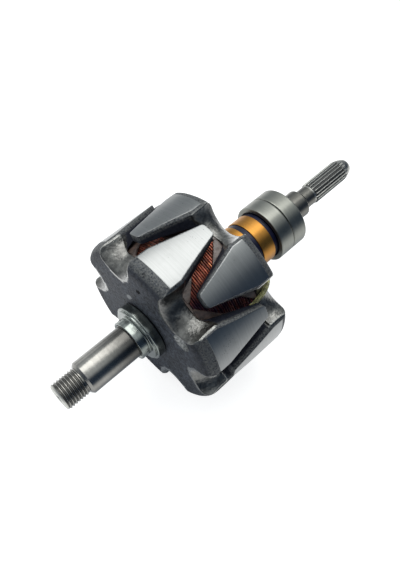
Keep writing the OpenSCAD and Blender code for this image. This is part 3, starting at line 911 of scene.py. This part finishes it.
def forged_pole(name, node, face, inward, first_valley, trim=0.0):
    """One pole piece: a forging with eased corners, uneven skin and exact turned claws.

    The outer corner band is trim millimetres shorter than the CAD node's.
    """
    mesh = softened_copy(node, 0.38)
    places, normals = corners_of(mesh), normals_of(mesh)
    depth = (places[:, 0] / MM - face) * inward
    places[:, 0] += inward * MM * trim * np.clip(1 - depth / CORNER_BAND, 0, 1)
    face += inward * trim
    radius = np.hypot(places[:, 1], places[:, 2]) / MM
    turned = radius > ROTOR_R - 0.03
    flat = np.abs(places[:, 0] / MM - face) < 0.1
    lumps = np.array([
        sum(noise.noise(Vector(p) * waves) * strength for waves, strength in SKIN_WAVES)
        for p in places
    ])
    free = rise(ROTOR_R - 0.15 - radius, 0.0, 1.2) * rise(radius, SHOULDER_R - 2.0, SHOULDER_R)
    sunk = (0.5 + 0.5 * lumps) * sizes().forging_wave * free * np.where(flat, FLAT_SHARE, 1.0)
    places = places - normals * sunk[:, None]
    scale = np.where(turned, ROTOR_R / np.maximum(radius, 1), 1.0)
    places[:, 1:] *= scale[:, None]
    move_corners(mesh, places)
    mark_edges(mesh, 2)
    write_attribute(mesh, "valley", valley_share(places, face, inward, first_valley))
    write_attribute(mesh, "drilled", drilled_share(places))
    # Faces that turn sideways between the claws, which the pole material darkens as painted shade.
    facing = normals_of(mesh)
    outwards = places * (0, 1, 1)
    outwards /= np.maximum(np.linalg.norm(outwards, axis=1), 1e-6)[:, None]
    flank = 1 - np.maximum(np.abs(facing[:, 0]), np.abs((facing * outwards).sum(axis=1)))
    write_attribute(mesh, "flank", rise(flank, 0.12, 0.4) * rise(radius, 30.0, 34.0))
    mesh.shade_smooth()
    normals = normals_of(mesh)
    inner = turned & (neighbour_mean(turned.astype(float), edges_of(mesh)) > 0.6)
    normals[inner] = outwards[inner]
    mesh.normals_split_custom_set_from_vertices(normals.tolist())
    return finish_piece(name, mesh, "pole_steel", replaced=(node,))


def swept_tubes(paths, sides):
    """One mesh of round tubes along paths. Each path is a list of (point, radius) in metres."""
    made = bmesh.new()
    layer = made.loops.layers.uv.new("strand")
    for path in paths:
        points = np.array([p for p, _ in path])
        steps = np.gradient(points, axis=0)
        steps /= np.linalg.norm(steps, axis=1)[:, None]
        side = np.cross(steps[0], (0.31, 0.17, 0.93))  # any way that no path takes
        gone = [0.0, *np.cumsum(np.linalg.norm(np.diff(points, axis=0), axis=1) / MM)]
        rings = []
        for i, (point, radius) in enumerate(path):
            side = side - steps[i] * side.dot(steps[i])
            side /= np.linalg.norm(side)
            up = np.cross(steps[i], side)
            turns = [2 * math.pi * k / sides for k in range(sides)]
            rings.append([
                made.verts.new(point + radius * (math.cos(a) * side + math.sin(a) * up))
                for a in turns
            ])
        for i in range(len(rings) - 1):
            for k, face in enumerate(bridge(made, rings[i], rings[i + 1])):
                face.smooth = True
                corners = ((k, i), (k + 1, i), (k + 1, i + 1), (k, i + 1))
                for loop, (u, v) in zip(face.loops, corners):
                    loop[layer].uv = (u / sides, gone[v])
        for end in (rings[0][::-1], rings[-1]):
            made.faces.new(end)
    bmesh.ops.recalc_face_normals(made, faces=made.faces)
    return new_mesh(made, "tubes")


def along_rotor(out, x, angle, aside=0.0):
    """A point out from the shaft at an angle from straight up, moved aside round it."""
    s, c = math.sin(angle), math.cos(angle)
    return np.array((x, -out * s - aside * c, out * c - aside * s)) * MM


LEAD_LEAN = math.radians(4.5)
WHISKER_R = 0.16
STRAND_SIDES = 14


def lead_route():
    """A lead's centre line as even rows of radius and station, in millimetres.

    It rises from the coil, goes over the pole's shoulder and ends at its terminal.
    """
    coil_r, top_r = COIL_R + 1.4, SHOULDER_R + VALLEY_R
    coil_x, top_x = POLE_REAR - 16.7, POLE_REAR - SHOULDER_DEPTH
    points = []
    for i in range(12):
        t = i / 12
        rising = t * t * (3 - 2 * t)
        points.append((coil_r + (top_r - coil_r) * rising, coil_x + (top_x - coil_x) * t))
    for i in range(24):
        t = i / 23
        a, r = math.radians(57) * t, VALLEY_R - 0.3 * t
        points.append((SHOULDER_R + r * math.cos(a), top_x + r * math.sin(a)))
    points.append((18.6, POLE_REAR + 1.4))
    line = np.array(points)
    gone = np.concatenate([[0], np.cumsum(np.linalg.norm(np.diff(line, axis=0), axis=1))])
    even = np.linspace(0, gone[-1], 72)
    route = np.column_stack([np.interp(even, gone, line[:, i]) for i in range(2)])
    for _ in range(3):
        route[1:-1] = (route[:-2] + route[1:-1] * 2 + route[2:]) / 4
    return route


def strand_path(route, heading, angle, k):
    """One of a lead's three strands, twisted with the others and leaning over in the middle."""
    strand = sizes().strand_radius / MM
    path = []
    for i, (out, x) in enumerate(route):
        t = i / (len(route) - 1)
        twist = 2 * math.pi * (k / 3 + 0.25 + 0.35 * t) + 0.35 * math.sin(t * 9.0 + 2 * k)
        aside = math.cos(twist) * strand * 1.25
        lift = (math.sin(twist) + 0.45) * strand * 0.85
        out_k, x_k = out + heading[i][1] * lift, x - heading[i][0] * lift
        lean = LEAD_LEAN * math.sin(math.pi * t) ** 2
        uneven = 1.0 + 0.05 * math.sin(i * 1.7 + k)
        path.append((along_rotor(out_k, x_k, angle - lean, aside), strand * MM * uneven))
    return path


def whisker_path(route, angle, k):
    """One of the fine threads that fray from the top of a lead."""
    out, x = route[len(route) * 5 // 9 + k]
    return [
        (
            along_rotor(
                out + 0.8 + 0.55 * j, x - 0.15 * j * k, angle - LEAD_LEAN,
                -0.9 - (0.25 + 0.2 * k) * j,
            ),
            WHISKER_R * MM,
        )
        for j in range(4)
    ]


# ---------------------------------------------------------------- geometry node trees


def new_modifier_tree(name, inputs):
    """A geometry node tree with one geometry output and named number inputs."""
    tree = bpy.data.node_groups.new(name, "GeometryNodeTree")
    tree.interface.new_socket("Geometry", in_out="OUTPUT", socket_type="NodeSocketGeometry")
    for label in inputs:
        tree.interface.new_socket(label, in_out="INPUT", socket_type="NodeSocketFloat")
    given = tree.nodes.new("NodeGroupInput")
    return tree, {label: Field(tree, given.outputs[label]) for label in inputs}


def grown_mesh(tree, geometry, inputs, material):
    """Ends a geometry node tree, and gives the plain mesh that it makes with these inputs."""
    smooth = put(tree, "GeometryNodeSetShadeSmooth", {"Geometry": geometry})
    whole = put(tree, "GeometryNodeRealizeInstances", {"Geometry": smooth})
    painted = put(tree, "GeometryNodeSetMaterial", {"Geometry": whole, "Material": material})
    add_node(tree, "NodeGroupOutput", {"Geometry": painted})
    holder = placed(tree.name, bpy.data.meshes.new(tree.name))
    modifier = holder.modifiers.new(tree.name, "NODES")
    modifier.node_group = tree
    for socket in tree.interface.items_tree:
        if socket.item_type == "SOCKET" and socket.in_out == "INPUT":
            modifier[socket.identifier] = inputs[socket.name]
    mesh = plain_mesh(holder)
    merge_doubles(mesh, 1e-7, outwards=True)
    return mesh


def rolled_sheet(tree, columns, rows):
    """A square grid to roll into a tube, with how far round and how far along each point is."""
    grid = put(
        tree, "GeometryNodeMeshGrid",
        {"Size X": 1.0, "Size Y": 1.0, "Vertices X": columns, "Vertices Y": rows},
    )
    u, v, _ = split(tree, put(tree, "GeometryNodeInputPosition"))
    return grid, u + 0.5, v + 0.5


def roll_up(tree, sheet, around, x, radius):
    """Places a sheet's points by their angle, station and radius."""
    angle = around * (2 * math.pi)
    place = joined(tree, x, radius * -1 * angle.math("SINE"), radius * angle.math("COSINE"))
    return put(tree, "GeometryNodeSetPosition", {"Geometry": sheet, "Position": place})


def closed_ends(along, share):
    """How far along the rod itself each point is, and 0 at both ends of the sheet to close them."""
    inside = ((along - share) / (1 - 2 * share)).clamped()
    return inside, (along / share).clamped(), ((1.0 - along) / share).clamped()


def thread_mesh(material):
    """A closed threaded rod: one helical groove, cut away to a chamfer at its free end."""
    inputs = {
        "Start": SHAFT_START * MM,
        "Length": THREAD_LENGTH * MM,
        "Radius": THREAD_R * MM,
        "Depth": sizes().thread_depth,
        "Pitch": sizes().thread_pitch,
        "Chamfer": 1.0 * MM,
        "Blind end": 8.0 * MM,
    }
    tree, given = new_modifier_tree("Pulley thread", inputs)
    sheet, around, along = rolled_sheet(tree, columns=145, rows=170)
    inside, first, last = closed_ends(along, 0.03)
    x = given["Start"] + inside * given["Length"]
    turns = inside * given["Length"] / given["Pitch"] + around
    saw = turns.math("FRACT")
    crest = ((1.0 - (saw * 2.0 - 1.0).math("ABSOLUTE")) * 1.5 - 0.2).clamped()
    free_end = given["Radius"] - given["Chamfer"] + inside * given["Length"]
    r = (given["Radius"] - given["Depth"] + given["Depth"] * crest).least(free_end)
    x = x + (1.0 - first) * given["Blind end"]
    rolled = roll_up(tree, sheet, around, x, r * first * last)
    return grown_mesh(tree, rolled, inputs, material)


def spline_mesh(material):
    """A closed splined tail with a ragged start to its grooves and a rounded nose."""
    start = (NECK_START - 1.0) * MM
    inputs = {
        "Start": start,
        "Length": SHAFT_END * MM - start,
        "Teeth": float(sizes().spline_teeth),
        "Tip radius": SPLINE_R * MM,
        "Root radius": ROOT_R * MM,
        "Spline start": SPLINE_START * MM,
        "Nose start": NOSE_START * MM,
        "Nose radius": NOSE_R * MM,
    }
    tree, given = new_modifier_tree("Spline", inputs)
    sheet, around, along = rolled_sheet(tree, columns=401, rows=150)
    inside, first, last = closed_ends(along, 0.02)
    x = given["Start"] + inside * given["Length"]
    wave = (around * given["Teeth"] * (2 * math.pi)).math("COSINE") * 0.5 + 0.5
    tooth = wave.rise(0.6, 1.0)
    tooth_number = (around * given["Teeth"] + 0.5).math("FLOOR")
    random = put(tree, "ShaderNodeTexWhiteNoise", {"W": tooth_number}, noise_dimensions="1D")
    ragged = x - given["Spline start"] - Field(tree, random) * 0.9 * MM
    lead_in = ragged.rise(-0.5 * MM, 1.1 * MM)
    rod = given["Root radius"] + (given["Tip radius"] - given["Root radius"]) * tooth * lead_in
    nose = ((x - given["Nose start"]) / (SHAFT_END * MM - given["Nose start"])).clamped()
    droop = 1.0 - (1.0 - nose ** 2.4) ** 0.5
    taper = (given["Tip radius"] - given["Nose radius"]) * (nose * 0.55 + droop * 0.45)
    r = rod.least(given["Tip radius"] + 0.02 * MM - taper)
    rolled = roll_up(tree, sheet, around, x, r * (first * last))
    return grown_mesh(tree, rolled, inputs, material)


def winding_mesh(material):
    """The coil's outer layer, wound as one wire over the layers below it."""
    turns = sizes().coil_turns
    wire = (COIL_END - COIL_START) / turns * 0.49
    inputs = {
        "Turns": float(turns),
        "Radius": (COIL_R - wire) * MM,
        "Wire radius": wire * MM,
        "Length": (COIL_END - COIL_START - 2 * wire) * MM,
        "Start": (COIL_START + wire) * MM,
        "Wander": sizes().wire_wander,
    }
    tree, given = new_modifier_tree("Winding", inputs)
    around = 150  # facets to a turn
    spiral = put(
        tree, "GeometryNodeCurveSpiral",
        {"Resolution": around, "Rotations": given["Turns"], "Start Radius": given["Radius"],
         "End Radius": given["Radius"], "Height": given["Length"]},
    )
    index = Field(tree, put(tree, "GeometryNodeInputIndex"))
    slow = noise_at(tree, index * 0.011)
    quick = noise_at(tree, index * 0.045 + 40.0)
    astray = (slow - 0.5) * 2.2 + (quick - 0.5) * 0.8
    lowered = (quick - 0.75) * 0.6
    x, y, z = split(tree, put(tree, "GeometryNodeInputPosition"))
    shrink = 1.0 + lowered * given["Wander"] / given["Radius"]
    moved = joined(tree, x * shrink, y * shrink, z + astray * given["Wander"])
    bent = put(tree, "GeometryNodeSetPosition", {"Geometry": spiral, "Position": moved})
    section = put(
        tree, "GeometryNodeCurvePrimitiveCircle", {"Resolution": 8, "Radius": given["Wire radius"]}
    )
    tube = put(
        tree, "GeometryNodeCurveToMesh",
        {"Curve": bent, "Profile Curve": section, "Fill Caps": True},
    )
    core = put(
        tree, "GeometryNodeMeshCylinder",
        {"Vertices": around, "Radius": given["Radius"], "Depth": given["Length"]},
    )
    middle = joined(tree, 0.0, 0.0, given["Length"] * 0.5)
    core = put(tree, "GeometryNodeTransform", {"Geometry": core, "Translation": middle})
    both = add_node(tree, "GeometryNodeJoinGeometry")
    for part in (tube, core):
        tree.links.new(part, both.inputs[0])
    laid = put(
        tree, "GeometryNodeTransform",
        {"Geometry": both.outputs[0], "Translation": joined(tree, given["Start"], 0.0, 0.0),
         "Rotation": (0.0, math.pi / 2, 0.0)},
    )
    return grown_mesh(tree, laid, inputs, material)


# ---------------------------------------------------------------- operators


class ROTOR_OT_finishes(bpy.types.Operator):
    """Make the rotor's materials"""

    bl_idname = "rotor.finishes"
    bl_label = "Finishes"

    def execute(self, context):
        make_finishes()
        return {"FINISHED"}


class ROTOR_OT_poles(bpy.types.Operator):
    """Build both claw-pole forgings with their turned claws and varnished valleys"""

    bl_idname = "rotor.poles"
    bl_label = "Claw poles"

    def execute(self, context):
        phase = sizes().claw_phase
        trim = sizes().rear_trim / MM
        forged_pole("front_pole_forging", "front_pole", POLE_FRONT, 1, phase + math.radians(30))
        forged_pole("rear_pole_forging", "rear_pole", POLE_REAR, -1, phase, trim)
        return {"FINISHED"}


class ROTOR_OT_coil(bpy.types.Operator):
    """Wind the field coil and build its bobbin"""

    bl_idname = "rotor.coil"
    bl_label = "Coil and bobbin"

    def execute(self, context):
        winding = winding_mesh(FINISHES["winding_copper"])
        finish_piece("field_winding", winding, "winding_copper", replaced=("field_coil",))
        mesh = softened_copy("bobbin", 0.26)
        mark_edges(mesh, 2)
        finish_piece("bobbin_moulding", mesh, "bobbin_nylon", replaced=("bobbin",))
        return {"FINISHED"}


class ROTOR_OT_shaft(bpy.types.Operator):
    """Turn the shaft, cut its pulley thread and its spline"""

    bl_idname = "rotor.shaft"
    bl_label = "Shaft"

    def execute(self, context):
        end = SHAFT_START
        add_ring(
            "shaft_turned",
            [
                (end + 6.0, 0.0, 0), (end + 6.0, CENTRE_R, 0), (end + 2.15, CENTRE_R, 0),
                (end, 2.6, 0.15), (end, 5.95, 0.1), (end + 0.1, 6.03, 0),
                (end + 10.8, 6.05, 0.1), (end + 10.9, 6.1, 0), (end + 12.5, 6.1, 0.1),
                (end + 12.6, 7.3, 0.2), (end + 13.8, JOURNAL_R, 0.25),
                (0.0, JOURNAL_R, 0), (0.0, SEAT_R, 0),
                (POLE_REAR, SEAT_R, 0), (POLE_REAR, TAIL_R, 0),
                (TAIL_END, TAIL_R, 0.5), (NECK_START, 6.2, 0.4), (NECK_START, ROOT_R, 0.4),
                (NECK_END, ROOT_R, 0), (NECK_END, 0.0, 0),
            ],
            "shaft_steel", replaced=("shaft",),
        )
        for name, make in (("pulley_thread", thread_mesh), ("spline_tail", spline_mesh)):
            mesh = make(FINISHES["shaft_steel"])
            mark_edges(mesh, 1)
            finish_piece(name, mesh, "shaft_steel")
        return {"FINISHED"}


class ROTOR_OT_collar(bpy.types.Operator):
    """Turn the plated collar between the drive-end bearing and the front pole"""

    bl_idname = "rotor.collar"
    bl_label = "Drive-end collar"

    def execute(self, context):
        hub_r, step_r, foot_r = SEAT_R + 1.6, COLLAR_R - 1.2, COLLAR_R - 0.7
        flange, rim, foot = COLLAR_END - 6.0, COLLAR_END - 5.0, COLLAR_END - 0.8
        add_ring(
            "collar_turned",
            [
                (0.85, SEAT_R, 0.1), (0.0, SEAT_R + 0.8, 0.12), (0.0, hub_r, 0.3),
                (flange, hub_r, 0.4), (flange, step_r, 0.35), (rim, step_r, 0.2),
                (rim, COLLAR_R, 0.45), (foot, COLLAR_R, 0.15), (foot, foot_r, 0),
                (COLLAR_END, foot_r, 0), (COLLAR_END, SEAT_R, 0),
            ],
            "plated_steel", replaced=("drive_end_collar",),
        )
        return {"FINISHED"}


class ROTOR_OT_slip_rings(bpy.types.Operator):
    """Turn both slip rings and finish their moulded hub"""

    bl_idname = "rotor.slip_rings"
    bl_label = "Slip rings"

    def execute(self, context):
        hub_start, hub_end, _ = span("slip_ring_hub")
        radius = span("slip_ring_inner")[2]
        flange, bed = radius - 0.5, radius - 1.6
        outline = [(hub_start - 2.0, TAIL_R, 0), (hub_start - 2.0, flange, 0.3)]
        for side in ("inner", "outer"):
            start, end, _ = span(f"slip_ring_{side}")
            add_ring(
                f"slip_ring_track_{side}",
                [(start, bed, 0), (start, radius, 0.25), (end, radius, 0.25), (end, bed, 0)],
                "slip_ring_alloy", replaced=(f"slip_ring_{side}",),
            )
            outline += [(start, flange, 0.2), (start, bed, 0), (end, bed, 0), (end, flange, 0.2)]
        outline += [(hub_end, flange, 0.4), (hub_end, TAIL_R, 0)]
        add_ring("hub_moulding", outline, "hub_resin", replaced=("slip_ring_hub",))
        return {"FINISHED"}


class ROTOR_OT_bearings(bpy.types.Operator):
    """Turn the rings and seals of both rear bearings"""

    bl_idname = "rotor.bearings"
    bl_label = "Rear bearings"

    def execute(self, context):
        for letter in "ab":
            low, high, radius = span(f"bearing_{letter}_outer_ring")
            bore = radius - 2.3
            add_ring(
                f"bearing_{letter}_outer_race",
                [(low, bore, 0.1), (low, radius, 0.65), (high, radius, 0.65), (high, bore, 0.1)],
                "bearing_steel", f"bearing_{letter}_outer", (f"bearing_{letter}_outer_ring",),
            )
            low, high, outer = span(f"bearing_{letter}_inner_ring")
            add_ring(
                f"bearing_{letter}_inner_race",
                [(low, TAIL_R, 0.1), (low, outer, 0.3), (high, outer, 0.3), (high, TAIL_R, 0.1)],
                "bearing_steel", "rotor", (f"bearing_{letter}_inner_ring",),
            )
            lip = outer + 0.15
            for side in ("front", "rear"):
                node = f"bearing_{letter}_{side}_seal"
                low, high, wide = span(node)
                face, back, sink = (low, high, 0.35) if side == "front" else (high, low, -0.35)
                add_ring(
                    f"{node}_lip",
                    [
                        (face, lip, 0.15), (face, lip + 0.8, 0.1), (face + sink, lip + 1.1, 0.1),
                        (face + sink, wide - 0.8, 0.1), (face, wide - 0.5, 0.1),
                        (face, wide, 0.1), (back, wide, 0), (back, lip, 0),
                    ],
                    "seal_rubber", f"bearing_{letter}_outer", (node,),
                )
        return {"FINISHED"}


class ROTOR_OT_leads(bpy.types.Operator):
    """Lay the coil's leads over the rear pole to their terminals"""

    bl_idname = "rotor.leads"
    bl_label = "Leads and terminals"

    def execute(self, context):
        route = lead_route()
        heading = np.gradient(route, axis=0)
        heading /= np.linalg.norm(heading, axis=1)[:, None]
        for letter, turn in (("a", 60), ("b", 240)):
            angle = sizes().claw_phase + math.radians(turn)
            paths = [strand_path(route, heading, angle, k) for k in range(3)]
            paths += [whisker_path(route, angle, k) for k in range(4)]
            finish_piece(
                f"lead_strands_{letter}", swept_tubes(paths, STRAND_SIDES), "sleeve_plastic",
                replaced=(f"lead_sleeve_{letter}",),
            )
            finish_node(f"lead_tail_{letter}", "lead_copper")
            finish_node(f"terminal_{letter}", "terminal_brass")
        return {"FINISHED"}


# The floor where the rotor's metal sees it dark (a painted shadow under the rotor, and one darker
# side), its far part, and the surroundings' two shades.
FLOOR_DUSK, FLOOR_FAR = (0.05, 0.075, 0.11), (0.07, 0.085, 0.11)
ROOM_DARK, ROOM_LIGHT = (0.05, 0.08, 0.13), (0.93, 0.98, 1.0)


class ROTOR_OT_stage(bpy.types.Operator):
    """Set the floor, the lights, the surroundings and the camera"""

    bl_idname = "rotor.stage"
    bl_label = "Stage"

    def execute(self, context):
        self.camera(context.scene)
        self.floor()
        self.lights()
        self.surroundings(context.scene)
        context.scene.view_settings.view_transform = "Standard"
        return {"FINISHED"}

    def camera(self, scene):
        data = bpy.data.cameras.new("Camera")
        data.lens, data.sensor_width = 37.9, 36.0
        data.clip_start, data.clip_end = 0.01, 20.0
        camera = placed("Camera", data)
        camera.location = (-0.06243, -0.14115, 0.23463)
        ahead = Vector((0.3657, 0.47797, -0.7986))
        roll = Quaternion((0, 0, 1), math.radians(-7.8))
        camera.rotation_mode = "QUATERNION"
        camera.rotation_quaternion = ahead.to_track_quat("-Z", "Y") @ roll
        scene.camera = camera

    def floor(self):
        """A matt floor that glows white, with a painted shadow that the rotor's metal sees just
        under it, and darker to metal on one side.
        """
        made = bmesh.new()
        bmesh.ops.create_circle(made, cap_ends=True, segments=96, radius=4.0)
        mesh = new_mesh(made, "studio_floor")
        mesh.transform(Matrix.Translation((0.05, 0, CAD_BOX[0].z - 0.0004)))
        placed("studio_floor", mesh)
        material = bpy.data.materials.new("Studio floor")
        material.use_nodes = True
        tree = material.node_tree
        tree.nodes.clear()
        mesh.materials.append(material)
        x, y, _ = split(tree, add_node(tree, "ShaderNodeTexCoord").outputs["Object"])
        along = x.rise(-0.07, -0.03) * (1.0 - x.rise(0.14, 0.19))
        # A painted shadow under the rotor, which only the rotor's metal sees.
        below = (1.0 - y.math("ABSOLUTE").rise(0.012, 0.055)) * along * 0.85
        dusk = (y * -1).rise(0.07, 0.17).most(below)
        fade = (y * -1).rise(0.16, 0.31)
        rays = {
            name: Field(tree, socket)
            for name, socket in add_node(tree, "ShaderNodeLightPath").outputs.items()
        }
        straight = rays["Is Camera Ray"]
        seen = straight.most(rays["Is Glossy Ray"]).most(rays["Is Transmission Ray"])
        light = mixed(tree, dusk * (1.0 - straight), (1, 1, 1), FLOOR_DUSK)
        shade = mixed(tree, fade, colours().floor, FLOOR_FAR)
        matt = put(tree, "ShaderNodeBsdfDiffuse", {"Color": shade})
        glow = put(tree, "ShaderNodeEmission", {"Color": light, "Strength": fade * 0.2 + 0.8})
        none = put(tree, "ShaderNodeEmission", {"Strength": 0.0})
        lit = put(tree, "ShaderNodeMixShader", {0: seen, 1: none, 2: glow})
        both = put(tree, "ShaderNodeAddShader", {0: matt, 1: lit})
        add_node(tree, "ShaderNodeOutputMaterial", {"Surface": both})

    def lights(self):
        centre = Vector((0.05, 0, 0))
        for name, place, size, power in (
            ("Key softbox", (0.160, 0.065, 0.47), (0.50, 0.31), 1.60),
            ("Side strip", (-0.10, 0.75, 0.22), (0.6, 0.25), 0.35),
        ):
            data = bpy.data.lights.new(name, "AREA")
            data.shape, data.size, data.size_y = "RECTANGLE", *size
            data.energy, data.color = power, (1.0, 0.985, 0.95)
            light = placed(name, data)
            light.location = place
            light.rotation_mode = "QUATERNION"
            light.rotation_quaternion = (centre - Vector(place)).to_track_quat("-Z", "Y")

    def surroundings(self, scene):
        world = bpy.data.worlds.new("Studio")
        scene.world = world
        world.use_nodes = True
        tree = world.node_tree
        tree.nodes.clear()
        _, y, z = split(tree, add_node(tree, "ShaderNodeTexCoord").outputs["Generated"])
        level = (y.rise(-0.35, 0.8) * 0.55 + z.rise(0.42, 0.82)).least(1.0)
        shade = mixed(tree, level, ROOM_DARK, ROOM_LIGHT)
        back = put(tree, "ShaderNodeBackground", {"Color": shade})
        add_node(tree, "ShaderNodeOutputWorld", {"Surface": back})


class ROTOR_PT_panel(bpy.types.Panel):
    """Lists the rotor's sizes, colours and pieces"""

    bl_idname = "ROTOR_PT_panel"
    bl_label = "Alternator rotor"
    bl_space_type = "VIEW_3D"
    bl_region_type = "UI"
    bl_category = "Rotor"

    def draw(self, context):
        for group in (context.scene.rotor_sizes, context.scene.rotor_colours):
            box = self.layout.box()
            for name in group.__annotations__:
                box.prop(group, name)
        for operator in PIECES:
            self.layout.operator(operator.bl_idname)


PIECES = (
    ROTOR_OT_finishes, ROTOR_OT_poles, ROTOR_OT_coil, ROTOR_OT_shaft, ROTOR_OT_collar,
    ROTOR_OT_slip_rings, ROTOR_OT_bearings, ROTOR_OT_leads, ROTOR_OT_stage,
)
CLASSES = (RotorSizes, RotorColours, *PIECES, ROTOR_PT_panel)


def register():
    for item in CLASSES:
        bpy.utils.register_class(item)
    bpy.types.Scene.rotor_sizes = PointerProperty(type=RotorSizes)
    bpy.types.Scene.rotor_colours = PointerProperty(type=RotorColours)


def unregister():
    del bpy.types.Scene.rotor_colours
    del bpy.types.Scene.rotor_sizes
    for item in reversed(CLASSES):
        bpy.utils.unregister_class(item)


def main():
    register()
    for operator in PIECES:
        group, name = operator.bl_idname.split(".")
        getattr(getattr(bpy.ops, group), name)()
    bpy.context.view_layer.update()


if __name__ == "__main__":
    main()
